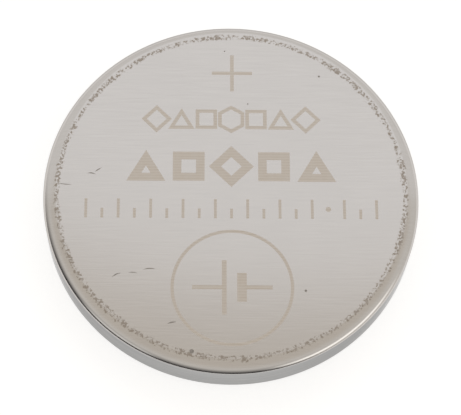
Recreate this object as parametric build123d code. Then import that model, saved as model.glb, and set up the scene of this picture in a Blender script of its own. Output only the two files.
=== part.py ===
"""Lithium coin cell, 20 mm across and 3.2 mm high, with everything that is crimped inside it.

Millimetres. The origin is the centre of the negative contact face, which the cell lies on, and +Z
points at the positive face. Every piece is turned about Z, so each one is a section drawn in the
XZ half plane, as (radius, height), and revolved.
"""

from build123d import *
import os

# Overall sizes
CELL_DIAMETER = 20.0
CELL_HEIGHT = 3.2

# Positive can: a drawn steel cup whose rim is curled in over the gasket
CAN_SHEET = 0.25
CAN_SHOULDER_RADIUS = 0.65
CRIMP_RADIUS = 1.0
CRIMP_LIP = 0.25  # flat run of the rim past its bend
CRIMP_RECESS = 0.2  # how far the rim stays behind the negative face

# Negative cap: a pressed steel lid with a raised contact face, a flange and a skirt
CAP_SHEET = 0.25
CAP_SHOULDER_RADIUS = 0.35
CAP_STEP_RADIUS = 0.2
CAP_GROOVE = 0.6  # open ring between the crimped rim and the raised face

# Gasket: a moulded polypropylene ring with a J-shaped section
GASKET_WALL = 0.25
GASKET_BEAD_WIDTH = 0.3  # the lip squeezed out past the rim
GASKET_BEAD_RISE = 0.1
GASKET_BEAD_RADIUS = 0.04
GASKET_UPSTAND = 0.7  # the short leg of the J, inside the skirt

# Electrodes
LITHIUM_CLEARANCE = 0.4  # round the disc, inside the cap
SEPARATOR_THICKNESS = 0.25
SEPARATOR_CLEARANCE = 0.1  # to the bend of the skirt
CATHODE_RING_SHEET = 0.2
CATHODE_RING_FOOT = 0.8
CATHODE_RING_CLEARANCE = 1.05  # to the gasket, left for electrolyte
CATHODE_RING_HEADROOM = 0.5  # to the separator

# Radii and heights that the pieces share
cell_radius = CELL_DIAMETER / 2
bend_radius = cell_radius - CRIMP_RADIUS  # where the bends of rim, gasket and skirt are centred
rim_radius = bend_radius - CRIMP_LIP
boss_radius = rim_radius - CAP_GROOVE
skirt_radius = cell_radius - CAN_SHEET - GASKET_WALL
gasket_inner_radius = skirt_radius - CAP_SHEET - GASKET_WALL
pellet_radius = gasket_inner_radius - CATHODE_RING_CLEARANCE - CATHODE_RING_SHEET

rim_inner_height = CRIMP_RECESS + CAN_SHEET
flange_height = rim_inner_height + GASKET_WALL
separator_bottom = flange_height + CAP_SHEET
separator_top = separator_bottom + SEPARATOR_THICKNESS
can_floor_height = CELL_HEIGHT - CAN_SHEET
skirt_top = can_floor_height - GASKET_WALL


def turned(section):
    """A solid of revolution from a section in the XZ half plane."""
    return revolve(section, Axis.Z, 360)


def pressed_sheet(path_points, bend_radii, sheet, side):
    """A pressed sheet: its outer face follows the bent path, and its thickness lies on one side."""
    with BuildSketch(Plane.XZ) as section:
        with BuildLine():
            outer_face = FilletPolyline(*path_points, radius=bend_radii)
            offset(outer_face, amount=sheet, side=side, closed=True)
        make_face()
    return turned(section.sketch)


def flat_disc(radius, bottom, thickness):
    """A plain disc that stands on the height given."""
    return Pos(0, 0, bottom) * Cylinder(radius, thickness, align=(Align.CENTER, Align.CENTER, Align.MIN))


def positive_can():
    """The cup: flat face, rounded shoulder, straight wall and the rim that is crimped inwards."""
    path = [
        (0, CELL_HEIGHT),
        (cell_radius, CELL_HEIGHT),
        (cell_radius, CRIMP_RECESS),
        (rim_radius, CRIMP_RECESS),
    ]
    return pressed_sheet(path, [CAN_SHOULDER_RADIUS, CRIMP_RADIUS], CAN_SHEET, Side.RIGHT)


def negative_cap():
    """The lid: raised contact face, step down to the flange, and the skirt that grips the gasket."""
    skirt_bend = CRIMP_RADIUS - CAN_SHEET - GASKET_WALL
    path = [
        (0, 0),
        (boss_radius, 0),
        (boss_radius, flange_height),
        (skirt_radius, flange_height),
        (skirt_radius, skirt_top),
    ]
    bends = [CAP_SHOULDER_RADIUS, CAP_STEP_RADIUS, skirt_bend]
    return pressed_sheet(path, bends, CAP_SHEET, Side.LEFT)


def gasket():
    """The seal: it fills the space between can and cap, from the rim round to inside the skirt."""
    can_wall_radius = cell_radius - CAN_SHEET
    bead_radius = rim_radius - GASKET_BEAD_WIDTH
    bead_height = rim_inner_height - GASKET_BEAD_RISE
    upstand_bottom = skirt_top - GASKET_UPSTAND
    rim_bend = CRIMP_RADIUS - CAN_SHEET
    shoulder_bend = CAN_SHOULDER_RADIUS - CAN_SHEET
    against_can = [
        (gasket_inner_radius, can_floor_height),
        (can_wall_radius, can_floor_height),
        (can_wall_radius, rim_inner_height),
        (rim_radius, rim_inner_height),
    ]
    bead = [
        (rim_radius, rim_inner_height),
        (rim_radius, bead_height),
        (bead_radius, bead_height),
        (bead_radius, flange_height),
    ]
    against_skirt = [
        (bead_radius, flange_height),
        (skirt_radius, flange_height),
        (skirt_radius, skirt_top),
    ]
    short_leg = [
        (skirt_radius, skirt_top),
        (skirt_radius - CAP_SHEET, skirt_top),
        (skirt_radius - CAP_SHEET, upstand_bottom),
        (gasket_inner_radius, upstand_bottom),
        (gasket_inner_radius, can_floor_height),
    ]
    with BuildSketch(Plane.XZ) as section:
        with BuildLine():
            FilletPolyline(*against_can, radius=[shoulder_bend, rim_bend])
            FilletPolyline(*bead, radius=GASKET_BEAD_RADIUS)
            FilletPolyline(*against_skirt, radius=rim_bend - GASKET_WALL)
            Polyline(*short_leg)
        make_face()
    return turned(section.sketch)


def lithium_anode():
    """The lithium disc, pressed into the raised part of the cap and level with its flange."""
    radius = boss_radius - CAP_SHEET - LITHIUM_CLEARANCE
    return flat_disc(radius, CAP_SHEET, separator_bottom - CAP_SHEET)


def separator():
    """The non-woven disc that lies on the lithium and on the flange."""
    return flat_disc(bend_radius - SEPARATOR_CLEARANCE, separator_bottom, SEPARATOR_THICKNESS)


def cathode_pellet():
    """The pressed pellet from the separator to the can, with a rebate for the ring's foot."""
    pellet = flat_disc(pellet_radius, separator_top, can_floor_height - separator_top)
    foot_bottom = can_floor_height - CATHODE_RING_SHEET
    rebate = flat_disc(pellet_radius, foot_bottom, CATHODE_RING_SHEET)
    rebate -= flat_disc(pellet_radius - CATHODE_RING_FOOT, foot_bottom, CATHODE_RING_SHEET)
    return pellet - rebate


def cathode_ring():
    """The L-section steel ring that holds the pellet's edge against the can."""
    outer_radius = pellet_radius + CATHODE_RING_SHEET
    ring_bottom = separator_top + CATHODE_RING_HEADROOM
    foot_bottom = can_floor_height - CATHODE_RING_SHEET
    ring = flat_disc(outer_radius, ring_bottom, can_floor_height - ring_bottom)
    ring -= flat_disc(pellet_radius, ring_bottom, foot_bottom - ring_bottom)
    return ring - flat_disc(pellet_radius - CATHODE_RING_FOOT, foot_bottom, CATHODE_RING_SHEET)


PIECES = {
    "positive_can": positive_can,
    "negative_cap": negative_cap,
    "gasket": gasket,
    "lithium_anode": lithium_anode,
    "separator": separator,
    "cathode_pellet": cathode_pellet,
    "cathode_ring": cathode_ring,
}

os.makedirs("parts", exist_ok=True)
for name, make in PIECES.items():
    export_step(make(), f"parts/{name}.step")
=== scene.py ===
"""Looks of a lithium coin cell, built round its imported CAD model. Metres, +Z up, positive face on top.

The can, the cap and the gasket, which all show, are turned again as fine meshes with the CAD's sizes,
so that their bends shine smoothly and the laser marks are cut into the face. Only the can's shoulder
differs: it is a wider bend that ends in a small corner at the wall, up to 0.1 mm outside the CAD's.
What is sealed inside stays the CAD's own. Sections and marks are drawn in millimetres.
"""

import math

import bpy
from mathutils import Matrix, Vector
from mathutils.geometry import delaunay_2d_cdt


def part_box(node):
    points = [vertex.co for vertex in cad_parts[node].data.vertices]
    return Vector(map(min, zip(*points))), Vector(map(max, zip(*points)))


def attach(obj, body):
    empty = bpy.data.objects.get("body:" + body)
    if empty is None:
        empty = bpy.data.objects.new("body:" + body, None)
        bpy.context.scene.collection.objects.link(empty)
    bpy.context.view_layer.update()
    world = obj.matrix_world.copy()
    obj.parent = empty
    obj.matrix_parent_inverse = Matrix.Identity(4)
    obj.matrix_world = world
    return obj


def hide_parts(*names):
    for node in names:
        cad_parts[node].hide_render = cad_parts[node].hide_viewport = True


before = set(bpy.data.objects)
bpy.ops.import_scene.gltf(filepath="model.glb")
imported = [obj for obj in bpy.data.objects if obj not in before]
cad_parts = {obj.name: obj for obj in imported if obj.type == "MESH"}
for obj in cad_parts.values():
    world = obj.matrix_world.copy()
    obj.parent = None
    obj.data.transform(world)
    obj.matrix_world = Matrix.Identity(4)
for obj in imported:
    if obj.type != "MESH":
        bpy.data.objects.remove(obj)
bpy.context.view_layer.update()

MM = 0.001
FULL_TURN = 2 * math.pi

# Sizes read from the frame, in millimetres
can_low, can_high = (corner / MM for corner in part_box("positive_can"))
cap_low, cap_high = (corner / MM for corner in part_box("negative_cap"))
gasket_low, gasket_high = (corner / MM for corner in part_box("gasket"))
CELL_RADIUS = round(can_high.x, 3)
CELL_TOP = round(can_high.z, 3)
RIM_LOW = round(can_low.z, 3)
CAP_SKIRT_RADIUS = round(cap_high.x, 3)
CAP_SKIRT_TOP = round(cap_high.z, 3)
BEAD_LOW = round(gasket_low.z, 3)

# Sheets and bends, in millimetres
SHEET = 0.25
SHOULDER_RADIUS = 0.85
SHOULDER_WIDTH = 0.693
SHOULDER_CORNER_RADIUS = 0.06
INNER_SHOULDER_RADIUS = 0.4
CRIMP_RADIUS = 1.0
CRIMP_LIP = 0.25
CUT_EDGE_RADIUS = 0.05
CAP_SHOULDER_RADIUS = 0.35
CAP_STEP_RADIUS = 0.2
CAP_GROOVE = 0.6
BEAD_WIDTH = 0.3
BEAD_RADIUS = 0.04
GASKET_UPSTAND = 0.7

BEND_RADIUS = CELL_RADIUS - CRIMP_RADIUS
RIM_RADIUS = BEND_RADIUS - CRIMP_LIP
BOSS_RADIUS = RIM_RADIUS - CAP_GROOVE
CAN_INNER_RADIUS = CELL_RADIUS - SHEET
CAN_FLOOR = CELL_TOP - SHEET
GASKET_WALL = CAN_FLOOR - CAP_SKIRT_TOP
RIM_INNER = RIM_LOW + SHEET
FLANGE = RIM_INNER + GASKET_WALL
SKIRT_INNER_RADIUS = CAP_SKIRT_RADIUS - SHEET
GASKET_INNER_RADIUS = SKIRT_INNER_RADIUS - GASKET_WALL

# Mesh fineness
STEPS_ROUND = 360
STEPS_PER_BEND = 12
FLOOR_RADIUS = 1000.0
FLAT_RING = 0.03  # the last flat ring before a bend, so that the face beside it shades flat


# Turned meshes


def arc(centre, radius, start, end, steps=STEPS_PER_BEND):
    """Points on an arc in the (radius, height) plane. 0 degrees points outwards and 90 up."""
    points = []
    for i in range(steps + 1):
        angle = math.radians(start + (end - start) * i / steps)
        points.append((centre[0] + radius * math.cos(angle), centre[1] + radius * math.sin(angle)))
    return points


def ring_point(radius, height, step):
    angle = FULL_TURN * step / STEPS_ROUND
    return (radius * math.cos(angle), radius * math.sin(angle), height)


def turned(outline, closed):
    """Vertices and faces of an outline of (radius, height) points turned about Z.

    The outline runs with the piece's material on its right.
    """
    count = len(outline)
    vertices = [ring_point(r, z, step) for step in range(STEPS_ROUND) for r, z in outline]
    faces = []
    for step in range(STEPS_ROUND):
        here = step * count
        after = (step + 1) % STEPS_ROUND * count
        for i in range(count if closed else count - 1):
            j = (i + 1) % count
            faces.append((here + i, here + j, after + j, after + i))
    return vertices, faces


def ring_of(index, count):
    """The vertices that one outline point makes."""
    return [step * count + index for step in range(STEPS_ROUND)]


def make_piece(name, vertices, faces, materials, slots=None):
    """A smooth mesh object, in metres, that rides on the cell."""
    mesh = bpy.data.meshes.new(name)
    mesh.from_pydata([Vector(v) * MM for v in vertices], [], faces)
    for material in materials:
        mesh.materials.append(material)
    if slots:
        mesh.polygons.foreach_set("material_index", slots)
    mesh.polygons.foreach_set("use_smooth", [True] * len(mesh.polygons))
    mesh.validate()
    mesh.update()
    piece = bpy.data.objects.new(name, mesh)
    bpy.context.scene.collection.objects.link(piece)
    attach(piece, "root")
    return piece


# Marks on the positive face, as groups of closed outlines


def box_outline(x0, y0, x1, y1):
    return [(x0, y0), (x1, y0), (x1, y1), (x0, y1)]


def polygon(x, y, radius, sides, first_angle=90.0):
    """A regular polygon round a centre. With many sides it is a circle."""
    points = []
    for k in range(sides):
        angle = math.radians(first_angle) + FULL_TURN * k / sides
        points.append((x + radius * math.cos(angle), y + radius * math.sin(angle)))
    return points


def outlined(x, y, radius, sides, stroke, first_angle=90.0):
    """A polygon drawn as a line of even width: its outer and inner outlines."""
    inset = stroke / math.cos(math.pi / sides)
    return [
        polygon(x, y, radius, sides, first_angle),
        polygon(x, y, radius - inset, sides, first_angle),
    ]


def plus_outline(x, y, size, stroke):
    half, side = size / 2, stroke / 2
    corners = [(side, half), (side, side), (half, side), (half, -side), (side, -side), (side, -half)]
    return [(x + a, y + b) for a, b in corners] + [(x - a, y - b) for a, b in corners]


def taper(x, y, length, width, degrees, bend=0.0, steps=6):
    """A thin scratch with pointed ends, bent sideways in the middle."""
    turn = math.radians(degrees)
    upper, lower = [], []
    for i in range(steps + 1):
        t = i / steps
        along = (t - 0.5) * length
        half = 0.5 * width * math.sin(math.pi * t)
        across = bend * math.sin(math.pi * t)
        for side, points in ((half, upper), (-half, lower)):
            out = across + side
            px = x + along * math.cos(turn) - out * math.sin(turn)
            py = y + along * math.sin(turn) + out * math.cos(turn)
            points.append((px, py))
    return upper + lower[-2:0:-1]


# An ornament of plain shapes: (sides, first angle) of each
TOP_ROW = [(4, 90), (3, 90), (4, 45), (6, 90), (4, 45), (3, 90), (4, 90)]
TOP_ROW_Y = 4.27
TOP_ROW_PITCH = 1.34
TOP_ROW_RADIUS = 0.82
TOP_STROKE = 0.2

BOLD_ROW = [(3, 90), (4, 45), (4, 90), (4, 45), (3, 90)]
BOLD_ROW_Y = 1.49
BOLD_ROW_PITCH = 2.28
BOLD_ROW_RADIUS = 1.2
BOLD_STROKE = 0.46

SCALE_Y = -0.96
SCALE_TICKS = 18
SCALE_HALF_LENGTH = 7.7
SCALE_TALL = 1.1
SCALE_SHORT = 0.55
SCALE_STROKE = 0.15

SYMBOL_X = 0.03
SYMBOL_Y = -5.38
SYMBOL_RING_RADIUS = 3.22
SYMBOL_RING_STROKE = 0.17
PLUS_Y = 7.05
PLUS_SIZE = 2.2
CIRCLE_SIDES = 96
DOT_SIDES = 12


def row_of_shapes(shapes, y, pitch, radius, stroke):
    """Outlined shapes side by side, centred on X."""
    first = -pitch * (len(shapes) - 1) / 2
    groups = []
    for i, (sides, angle) in enumerate(shapes):
        drop = radius * 0.22 if sides == 3 else 0.0
        groups.append(outlined(first + pitch * i, y - drop, radius, sides, stroke, angle))
    return groups


def scale_marks():
    """A row of ticks, long and short in turn, with one dot in place of a tick."""
    groups = []
    for i in range(SCALE_TICKS + 1):
        x = SCALE_HALF_LENGTH * (2 * i / SCALE_TICKS - 1)
        if i == SCALE_TICKS - 3:
            groups.append([polygon(x, SCALE_Y, SCALE_STROKE, DOT_SIDES)])
            continue
        height = SCALE_SHORT if i % 2 else SCALE_TALL
        base = SCALE_Y - SCALE_TALL / 2
        half = SCALE_STROKE / 2
        groups.append([box_outline(x - half, base, x + half, base + height)])
    return groups


def cell_symbol():
    """The circuit sign of a cell in a ring: a long thin plate, a short thick plate, and two leads."""
    x, y = SYMBOL_X, SYMBOL_Y
    ring = [
        polygon(x, y, SYMBOL_RING_RADIUS, CIRCLE_SIDES),
        polygon(x, y, SYMBOL_RING_RADIUS - SYMBOL_RING_STROKE, CIRCLE_SIDES),
    ]
    long_plate = [box_outline(x - 0.55, y - 1.5, x - 0.3, y + 1.5)]
    short_plate = [box_outline(x + 0.25, y - 0.8, x + 0.75, y + 0.8)]
    left_lead = [box_outline(x - 2.1, y - 0.11, x - 0.55, y + 0.11)]
    right_lead = [box_outline(x + 0.75, y - 0.11, x + 2.1, y + 0.11)]
    return [ring, long_plate, short_plate, left_lead, right_lead]


def laser_marks():
    """Every laser mark. Each is a list of outlines, and what lies in an odd number of them is marked."""
    groups = [[plus_outline(0.05, PLUS_Y, PLUS_SIZE, TOP_STROKE)]]
    groups += row_of_shapes(TOP_ROW, TOP_ROW_Y, TOP_ROW_PITCH, TOP_ROW_RADIUS, TOP_STROKE)
    groups += row_of_shapes(BOLD_ROW, BOLD_ROW_Y, BOLD_ROW_PITCH, BOLD_ROW_RADIUS, BOLD_STROKE)
    groups += scale_marks()
    groups += cell_symbol()
    return groups


def scratches():
    """Small scratches and pits that the cell picked up, one outline each."""
    lines = [
        taper(-7.45, 1.0, 0.5, 0.06, -8, 0.05),
        taper(-7.1, 1.25, 0.45, 0.06, 35),
        taper(-8.85, 0.42, 0.8, 0.05, -6, -0.03),
        taper(-6.0, -4.75, 0.55, 0.06, 28, 0.06),
        taper(-5.15, -4.62, 0.5, 0.05, -3, 0.04),
        taper(-4.3, -4.42, 0.7, 0.06, 3, 0.06),
        taper(-3.1, -7.35, 0.5, 0.08, 12, 0.03),
    ]
    dots = [(4.8, 6.9, 0.06), (3.85, -5.55, 0.07), (-2.07, -8.88, 0.12), (0.9, 5.2, 0.04), (-0.35, 8.4, 0.04)]
    return [[line] for line in lines] + [[polygon(x, y, r, DOT_SIDES)] for x, y, r in dots]


def inside(point, outline):
    """True if the point lies in the outline."""
    x, y = point
    odd = False
    for (x0, y0), (x1, y1) in zip(outline, outline[1:] + outline[:1]):
        if (y0 > y) != (y1 > y) and x < x0 + (y - y0) * (x1 - x0) / (y1 - y0):
            odd = not odd
    return odd


def marked_disc(radius, height, kinds):
    """A flat disc cut along the outlines of its marks.

    Its vertices, of which the first STEPS_ROUND are its rim, its triangles, and the material slot of
    each: 0 for bare metal, and then one for each kind of mark.
    """
    points = [Vector(ring_point(radius, height, step)[:2]) for step in range(STEPS_ROUND)]
    edges = [(step, (step + 1) % STEPS_ROUND) for step in range(STEPS_ROUND)]
    for groups in kinds:
        for outline in (outline for group in groups for outline in group):
            first = len(points)
            points += [Vector(p) for p in outline]
            edges += [(first + i, first + (i + 1) % len(outline)) for i in range(len(outline))]
    flat, _, triangles, origins, _, _ = delaunay_2d_cdt(points, edges, [], 0, 1e-5)
    place = {}
    for i, came_from in enumerate(origins):
        rim = [k for k in came_from if k < STEPS_ROUND]
        place[i] = rim[0] if rim else None
    vertices = [ring_point(radius, height, step) for step in range(STEPS_ROUND)]
    for i, p in enumerate(flat):
        if place[i] is None:
            place[i] = len(vertices)
            vertices.append((p.x, p.y, height))
    faces, slots = [], []
    for triangle in triangles:
        middle = sum((flat[i] for i in triangle), Vector((0, 0))) / 3
        slot = 0
        for kind, groups in enumerate(kinds, 1):
            if any(sum(inside(middle, outline) for outline in group) % 2 for group in groups):
                slot = kind
        faces.append([place[i] for i in triangle])
        slots.append(slot)
    return vertices, faces, slots


# Node helpers


class Shading:
    """A material's or the world's nodes, with short calls for the few kinds in use."""

    def __init__(self, owner):
        owner.use_nodes = True
        self.tree = owner.node_tree
        self.tree.nodes.clear()

    def add(self, kind, **settings):
        node = self.tree.nodes.new(kind)
        for key, value in settings.items():
            setattr(node, key, value)
        return node

    def put(self, socket, value):
        if isinstance(value, bpy.types.NodeSocket):
            self.tree.links.new(value, socket)
        else:
            socket.default_value = value

    def math(self, operation, a, b=0.0):
        node = self.add("ShaderNodeMath", operation=operation)
        self.put(node.inputs[0], a)
        self.put(node.inputs[1], b)
        return node.outputs[0]

    def smooth(self, value, low, high):
        """0 below low, 1 above high, smooth between. With low above high it falls instead."""
        node = self.add("ShaderNodeMapRange", interpolation_type="SMOOTHSTEP")
        falls = low > high
        self.put(node.inputs["Value"], value)
        self.put(node.inputs["From Min"], min(low, high))
        self.put(node.inputs["From Max"], max(low, high))
        self.put(node.inputs["To Min"], 1.0 if falls else 0.0)
        self.put(node.inputs["To Max"], 0.0 if falls else 1.0)
        return node.outputs[0]

    def span(self, value, low, high):
        """Takes 0 to 1 to the given range."""
        node = self.add("ShaderNodeMapRange")
        self.put(node.inputs["Value"], value)
        self.put(node.inputs["To Min"], low)
        self.put(node.inputs["To Max"], high)
        return node.outputs[0]

    def mix(self, factor, a, b, blend="MIX"):
        node = self.add("ShaderNodeMix", data_type="RGBA", blend_type=blend)
        self.put(node.inputs[0], factor)
        self.put(node.inputs[6], a)
        self.put(node.inputs[7], b)
        return node.outputs[2]

    def scaled(self, vector, scale):
        node = self.add("ShaderNodeVectorMath", operation="MULTIPLY")
        self.put(node.inputs[0], vector)
        self.put(node.inputs[1], scale)
        return node.outputs[0]

    def noise(self, vector, scale, detail=2.0, roughness=0.5):
        node = self.add("ShaderNodeTexNoise")
        self.put(node.inputs["Vector"], vector)
        self.put(node.inputs["Scale"], scale)
        self.put(node.inputs["Detail"], detail)
        self.put(node.inputs["Roughness"], roughness)
        return node.outputs["Fac"]

    def parts(self, vector):
        node = self.add("ShaderNodeSeparateXYZ")
        self.put(node.inputs[0], vector)
        return node.outputs

    def bump(self, height, distance):
        node = self.add("ShaderNodeBump")
        self.put(node.inputs["Height"], height)
        self.put(node.inputs["Distance"], distance)
        return node.outputs[0]

    def surface(self, color, roughness, metallic, normal=None, **constants):
        node = self.add("ShaderNodeBsdfPrincipled")
        self.put(node.inputs["Base Color"], color)
        self.put(node.inputs["Roughness"], roughness)
        self.put(node.inputs["Metallic"], metallic)
        if normal:
            self.put(node.inputs["Normal"], normal)
        for key, value in constants.items():
            self.put(node.inputs[key.replace("_", " ")], value)
        out = self.add("ShaderNodeOutputMaterial")
        self.put(out.inputs["Surface"], node.outputs[0])


def color(r, g, b):
    """A colour from its screen values, 0 to 255, as the linear values that a socket takes."""
    linear = []
    for value in (r, g, b):
        v = value / 255
        linear.append(v / 12.92 if v <= 0.04045 else ((v + 0.055) / 1.055) ** 2.4)
    return (*linear, 1.0)


# Materials

EDGE_TINT = (0.55, 0.55, 0.55, 1.0)  # how much of a steel's white sheen stays at a grazing angle


def steel_material(name, base, drawn_base_with_painted_shade, roughness, scuffed_radius=None):
    """Satin steel: rolled along X on flat faces and drawn round the wall, with faint blotches. The wall,
    picked by its slope, takes a neutral grey for the drawn finish, a little darker than the face as painted
    shade.
    """
    material = bpy.data.materials.new(name)
    s = Shading(material)
    place = s.scaled(s.add("ShaderNodeTexCoord").outputs["Object"], (1 / MM,) * 3)
    normal = s.parts(s.add("ShaderNodeTexCoord").outputs["Normal"])
    flat = s.smooth(s.math("ABSOLUTE", normal[2]), 0.9, 0.99)
    rolled = s.noise(s.scaled(place, (0.5, 16.0, 1.0)), 1.0, 4.0, 0.6)
    drawn = s.noise(s.scaled(place, (0.2, 0.2, 5.0)), 1.0, 5.0, 0.7)
    streaks = s.mix(flat, drawn, rolled)
    # Mask of the wall by slope. It gets the drawn streaks and a darker base colour than the face, which is
    # partly painted shade.
    wall = s.smooth(s.math("ABSOLUTE", normal[2]), 0.4, 0.1)
    blotches = s.noise(place, 0.45, 3.0)
    contrast = s.mix(wall, s.span(rolled, 0.92, 1.08), s.span(drawn, 0.75, 1.25))
    tone = s.math("ADD", contrast, s.span(blotches, -0.02, 0.02))
    shade = s.mix(1.0, s.mix(wall, base, drawn_base_with_painted_shade), tone, "MULTIPLY")
    rough = s.math("ADD", s.span(streaks, -0.03, 0.03), roughness)
    relief = streaks
    if scuffed_radius:
        xyz = s.parts(place)
        radius = s.math("SQRT", s.math("ADD", s.math("POWER", xyz[0], 2.0), s.math("POWER", xyz[1], 2.0)))
        off_ring = s.math("ABSOLUTE", s.math("SUBTRACT", radius, scuffed_radius))
        width = s.span(s.noise(place, 0.5, 2.0), 0.1, 0.55)
        density = s.smooth(s.math("DIVIDE", off_ring, width), 1.0, 0.2)
        specks = s.noise(place, 8.0, 3.0, 0.6)
        clumps = s.noise(place, 1.4, 2.0)
        worn = s.math("ADD", specks, s.math("ADD", s.span(density, -0.34, 0.02), s.span(clumps, -0.08, 0.08)))
        worn = s.smooth(worn, 0.45, 0.62)
        shade = s.mix(worn, shade, color(156, 147, 138))
        rough = s.math("ADD", rough, s.math("MULTIPLY", worn, 0.25))
        relief = s.math("SUBTRACT", relief, s.math("MULTIPLY", worn, 2.0))
    s.surface(shade, rough, 1.0, s.bump(relief, 0.0004 * MM), Specular_Tint=EDGE_TINT)
    return material


def laser_material():
    """Steel burnt by the laser: duller, a little browner, with the fine lines of its passes."""
    material = bpy.data.materials.new("laser_mark")
    s = Shading(material)
    place = s.scaled(s.add("ShaderNodeTexCoord").outputs["Object"], (1 / MM,) * 3)
    xyz = s.parts(place)
    passes = s.math("SINE", s.math("MULTIPLY", xyz[1], FULL_TURN / 0.16))
    patchy = s.noise(place, 3.0, 3.0)
    shade = s.mix(s.span(passes, 0.35, 0.65), color(182, 172, 161), color(207, 199, 190))
    shade = s.mix(s.span(patchy, -0.2, 0.5), shade, color(205, 200, 195))
    s.surface(shade, s.span(patchy, 0.3, 0.45), 1.0, s.bump(passes, 0.001 * MM))
    return material


def scratch_material():
    """Dirt and torn metal in a scratch."""
    material = bpy.data.materials.new("scratch")
    s = Shading(material)
    place = s.scaled(s.add("ShaderNodeTexCoord").outputs["Object"], (1 / MM,) * 3)
    grain = s.noise(place, 9.0, 3.0)
    s.surface(s.mix(grain, color(112, 106, 100), color(176, 171, 166)), s.span(grain, 0.4, 0.7), 0.8)
    return material


def grained_material(name, dark, light, scale, roughness, metallic=0.0, relief=0.01):
    """A plain finish with grain in its colour, roughness and relief."""
    material = bpy.data.materials.new(name)
    s = Shading(material)
    place = s.scaled(s.add("ShaderNodeTexCoord").outputs["Object"], (1 / MM,) * 3)
    grain = s.noise(place, scale, 5.0, 0.6)
    rough = s.span(grain, roughness - 0.08, roughness + 0.08)
    s.surface(s.mix(grain, dark, light), rough, metallic, s.bump(grain, relief * MM))
    return material


STEEL = color(200, 196, 193)
# The drawn finish's neutral grey, made a little darker than the face as painted shade on the wall.
DRAWN_STEEL_WITH_PAINTED_SHADE = color(192, 192, 192)
can_steel = steel_material("can_steel", STEEL, DRAWN_STEEL_WITH_PAINTED_SHADE, 0.12, scuffed_radius=9.27)
cap_steel = steel_material("cap_steel", color(196, 194, 191), DRAWN_STEEL_WITH_PAINTED_SHADE, 0.2)
laser_mark = laser_material()
scratch = scratch_material()
gasket_plastic = grained_material("gasket_plastic", color(58, 55, 52), color(74, 71, 67), 2.0, 0.45)


# Pieces


def build_can():
    """The cup with its crimped rim. The flat face is cut along its marks."""
    shoulder = (CELL_RADIUS - SHOULDER_WIDTH, CELL_TOP - SHOULDER_RADIUS)
    corner_out = SHOULDER_WIDTH - SHOULDER_CORNER_RADIUS
    corner_reach = SHOULDER_RADIUS - SHOULDER_CORNER_RADIUS
    corner_angle = math.degrees(math.acos(corner_out / corner_reach))
    corner = (shoulder[0] + corner_out, shoulder[1] + math.sqrt(corner_reach**2 - corner_out**2))
    inner_shoulder = (CAN_INNER_RADIUS - INNER_SHOULDER_RADIUS, CAN_FLOOR - INNER_SHOULDER_RADIUS)
    crimp = (BEND_RADIUS, RIM_LOW + CRIMP_RADIUS)
    lip_outer = (RIM_RADIUS + CUT_EDGE_RADIUS, RIM_LOW + CUT_EDGE_RADIUS)
    lip_inner = (RIM_RADIUS + CUT_EDGE_RADIUS, RIM_INNER - CUT_EDGE_RADIUS)
    outline = [(shoulder[0] - FLAT_RING, CELL_TOP)]
    outline += arc(shoulder, SHOULDER_RADIUS, 90, corner_angle)
    outline += arc(corner, SHOULDER_CORNER_RADIUS, corner_angle, 0, 6)[1:]
    outline += arc(crimp, CRIMP_RADIUS, 0, -90)
    outline += arc(lip_outer, CUT_EDGE_RADIUS, 270, 180, 4)
    outline += arc(lip_inner, CUT_EDGE_RADIUS, 180, 90, 4)
    outline += arc(crimp, CRIMP_RADIUS - SHEET, -90, 0)
    outline += arc(inner_shoulder, INNER_SHOULDER_RADIUS, 0, 90)
    vertices, faces = turned(outline, closed=False)
    slots = [0] * len(faces)
    count = len(outline)
    faces.append(ring_of(count - 1, count)[::-1])
    slots.append(0)
    outer_ring = ring_of(0, count)
    disc, triangles, disc_slots = marked_disc(outline[0][0], CELL_TOP, [laser_marks(), scratches()])
    extra = len(vertices) - STEPS_ROUND
    vertices += disc[STEPS_ROUND:]
    for triangle in triangles:
        faces.append([outer_ring[i] if i < STEPS_ROUND else i + extra for i in triangle])
    slots += disc_slots
    return make_piece("can_shell", vertices, faces, [can_steel, laser_mark, scratch], slots)


def build_cap():
    """The lid, with its contact face down."""
    boss = (BOSS_RADIUS - CAP_SHOULDER_RADIUS, CAP_SHOULDER_RADIUS)
    step = (BOSS_RADIUS + CAP_STEP_RADIUS, FLANGE - CAP_STEP_RADIUS)
    skirt_bend = CRIMP_RADIUS - SHEET - GASKET_WALL
    skirt = (BEND_RADIUS, RIM_LOW + CRIMP_RADIUS)
    outline = [(boss[0] - FLAT_RING, SHEET)]
    outline += arc(boss, CAP_SHOULDER_RADIUS - SHEET, -90, 0)
    outline += arc(step, CAP_STEP_RADIUS + SHEET, 180, 90)
    outline += arc(skirt, skirt_bend - SHEET, -90, 0)
    outline += [(SKIRT_INNER_RADIUS, CAP_SKIRT_TOP), (CAP_SKIRT_RADIUS, CAP_SKIRT_TOP)]
    outline += arc(skirt, skirt_bend, 0, -90)
    outline += arc(step, CAP_STEP_RADIUS, 90, 180)
    outline += arc(boss, CAP_SHOULDER_RADIUS, 0, -90)
    outline += [(boss[0] - FLAT_RING, 0.0)]
    vertices, faces = turned(outline, closed=False)
    faces.append(ring_of(0, len(outline)))
    faces.append(ring_of(len(outline) - 1, len(outline))[::-1])
    return make_piece("cap_shell", vertices, faces, [cap_steel])


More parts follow.
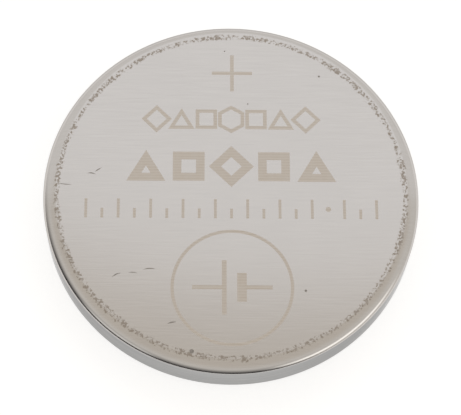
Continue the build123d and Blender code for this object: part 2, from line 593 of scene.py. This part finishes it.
def build_gasket():
    """The J-shaped ring, with its bead squeezed out past the rim."""
    shoulder = (CAN_INNER_RADIUS - INNER_SHOULDER_RADIUS, CAN_FLOOR - INNER_SHOULDER_RADIUS)
    crimp = (BEND_RADIUS, RIM_LOW + CRIMP_RADIUS)
    bead = RIM_RADIUS - BEAD_WIDTH
    rim_bend = CRIMP_RADIUS - SHEET
    outline = [(GASKET_INNER_RADIUS, CAN_FLOOR)]
    outline += arc(shoulder, INNER_SHOULDER_RADIUS, 90, 0)
    outline += arc(crimp, rim_bend, 0, -90)
    outline += [(RIM_RADIUS, RIM_INNER)]
    outline += arc((RIM_RADIUS - BEAD_RADIUS, BEAD_LOW + BEAD_RADIUS), BEAD_RADIUS, 0, -90, 4)
    outline += arc((bead + BEAD_RADIUS, BEAD_LOW + BEAD_RADIUS), BEAD_RADIUS, -90, -180, 4)
    outline += [(bead, FLANGE)]
    outline += arc(crimp, rim_bend - GASKET_WALL, -90, 0)
    outline += [
        (CAP_SKIRT_RADIUS, CAP_SKIRT_TOP),
        (SKIRT_INNER_RADIUS, CAP_SKIRT_TOP),
        (SKIRT_INNER_RADIUS, CAP_SKIRT_TOP - GASKET_UPSTAND),
        (GASKET_INNER_RADIUS, CAP_SKIRT_TOP - GASKET_UPSTAND),
    ]
    vertices, faces = turned(outline, closed=True)
    return make_piece("gasket_ring", vertices, faces, [gasket_plastic])


def finish_inner_pieces():
    """Materials for the sealed pieces, which keep their CAD meshes."""
    finishes = {
        "lithium_anode": grained_material(
            "lithium_metal", color(176, 174, 172), color(198, 196, 193), 1.5, 0.4, 1.0
        ),
        "separator": grained_material(
            "separator_felt", color(226, 226, 222), color(244, 244, 240), 6.0, 0.85, relief=0.02
        ),
        "cathode_pellet": grained_material(
            "cathode_powder", color(26, 26, 26), color(48, 47, 46), 8.0, 0.8, relief=0.02
        ),
        "cathode_ring": steel_material("ring_steel", color(186, 185, 184), DRAWN_STEEL_WITH_PAINTED_SHADE, 0.25),
    }
    for node, material in finishes.items():
        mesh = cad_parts[node].data
        mesh.materials.clear()
        mesh.materials.append(material)


for build, node, slot in (
    (build_can, "positive_can", "can_steel"),
    (build_cap, "negative_cap", "cap_steel"),
    (build_gasket, "gasket", "gasket_polypropylene"),
):
    piece = build()
    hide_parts(node)
finish_inner_pieces()


# Floor, light and camera


def build_floor():
    """A wide white floor. Seen or mirrored it is lit evenly, and it keeps the cell's shadow."""
    mesh = bpy.data.meshes.new("floor")
    edge = [ring_point(FLOOR_RADIUS, 0, step) for step in range(STEPS_ROUND)]
    mesh.from_pydata([Vector(v) * MM for v in edge], [], [range(STEPS_ROUND)])
    material = bpy.data.materials.new("floor_white")
    s = Shading(material)
    ray = s.add("ShaderNodeLightPath").outputs
    through = s.math("MAXIMUM", ray["Is Glossy Ray"], ray["Is Transmission Ray"])
    seen = s.math("MAXIMUM", ray["Is Camera Ray"], through)
    matt = s.add("ShaderNodeBsdfDiffuse")
    s.put(matt.inputs["Color"], (0.5, 0.5, 0.5, 1.0))
    glow = s.add("ShaderNodeEmission")
    s.put(glow.inputs["Color"], (1.0, 1.0, 1.0, 1.0))
    s.put(glow.inputs["Strength"], s.math("MULTIPLY", seen, 0.68))
    both = s.add("ShaderNodeAddShader")
    s.put(both.inputs[0], matt.outputs[0])
    s.put(both.inputs[1], glow.outputs[0])
    out = s.add("ShaderNodeOutputMaterial")
    s.put(out.inputs["Surface"], both.outputs[0])
    mesh.materials.append(material)
    floor = bpy.data.objects.new("floor", mesh)
    bpy.context.scene.collection.objects.link(floor)


def build_world():
    """A soft studio: a wide pale light above and behind, greyer in front, dark at the horizon."""
    world = bpy.data.worlds.new("studio")
    bpy.context.scene.world = world
    s = Shading(world)
    direction = s.add("ShaderNodeTexCoord").outputs["Generated"]
    height = s.parts(direction)[2]

    def towards(azimuth, elevation):
        """The cosine of the angle to the direction given, which is in degrees."""
        a, e = math.radians(azimuth), math.radians(elevation)
        node = s.add("ShaderNodeVectorMath", operation="DOT_PRODUCT")
        s.put(node.inputs[0], direction)
        s.put(node.inputs[1], (math.cos(a) * math.cos(e), math.sin(a) * math.cos(e), math.sin(e)))
        return node.outputs["Value"]

    def cosine(degrees):
        return math.cos(math.radians(degrees))

    front = s.mix(s.smooth(height, 0.55, 0.95), (0.80, 0.78, 0.74, 1.0), (0.724, 0.68, 0.614, 1.0))
    sky = s.mix(s.smooth(towards(90, 0), 0.3, 0.45), front, (0.89, 0.88, 0.86, 1.0))
    sky = s.mix(s.smooth(towards(84.5, 49), cosine(22.7), cosine(19.6)), sky, (1.02, 1.02, 1.02, 1.0))
    gloom = s.math("MULTIPLY", s.smooth(towards(-125, 0), 0.0, 0.7), s.smooth(height, 0.62, 0.06))
    sky = s.mix(gloom, sky, (0.04, 0.04, 0.04, 1.0))
    strip = s.math("MULTIPLY", s.smooth(height, 0.16, 0.22), s.smooth(height, 0.42, 0.36))
    right_strip = s.math("MULTIPLY", strip, s.smooth(towards(-40, 15), cosine(36), cosine(8)))
    left_strip = s.math("MULTIPLY", strip, s.smooth(towards(-140, 13), cosine(22), cosine(8)))
    sky = s.mix(right_strip, sky, (1.7, 1.68, 1.62, 1.0))
    sky = s.mix(left_strip, sky, (0.92, 0.91, 0.88, 1.0))
    background = s.add("ShaderNodeBackground")
    s.put(background.inputs["Color"], sky)
    out = s.add("ShaderNodeOutputWorld")
    s.put(out.inputs["Surface"], background.outputs[0])


def build_camera():
    """The camera looks down on the face from the front, a little turned and rolled."""
    azimuth, elevation, roll = (math.radians(a) for a in (-3.75, 67.32, 3.86))
    distance = 97.8
    aim = Vector((0, 0, CELL_TOP / 2))
    back = Vector(
        (
            math.sin(azimuth) * math.cos(elevation),
            -math.cos(azimuth) * math.cos(elevation),
            math.sin(elevation),
        )
    )
    right = Vector((math.cos(azimuth), math.sin(azimuth), 0))
    up = back.cross(right)
    place = aim + back * distance + right * 0.004 - up * 0.206
    rolled_right = right * math.cos(roll) + up * math.sin(roll)
    rolled_up = up * math.cos(roll) - right * math.sin(roll)
    data = bpy.data.cameras.new("camera")
    data.lens = 141.6
    data.sensor_width = 36.0
    data.clip_start = 1 * MM
    camera = bpy.data.objects.new("camera", data)
    bpy.context.scene.collection.objects.link(camera)
    turn = Matrix((rolled_right, rolled_up, back)).transposed().to_4x4()
    camera.matrix_world = Matrix.Translation(place * MM) @ turn
    bpy.context.scene.camera = camera


build_floor()
build_world()
build_camera()
bpy.context.scene.view_settings.view_transform = "Standard"
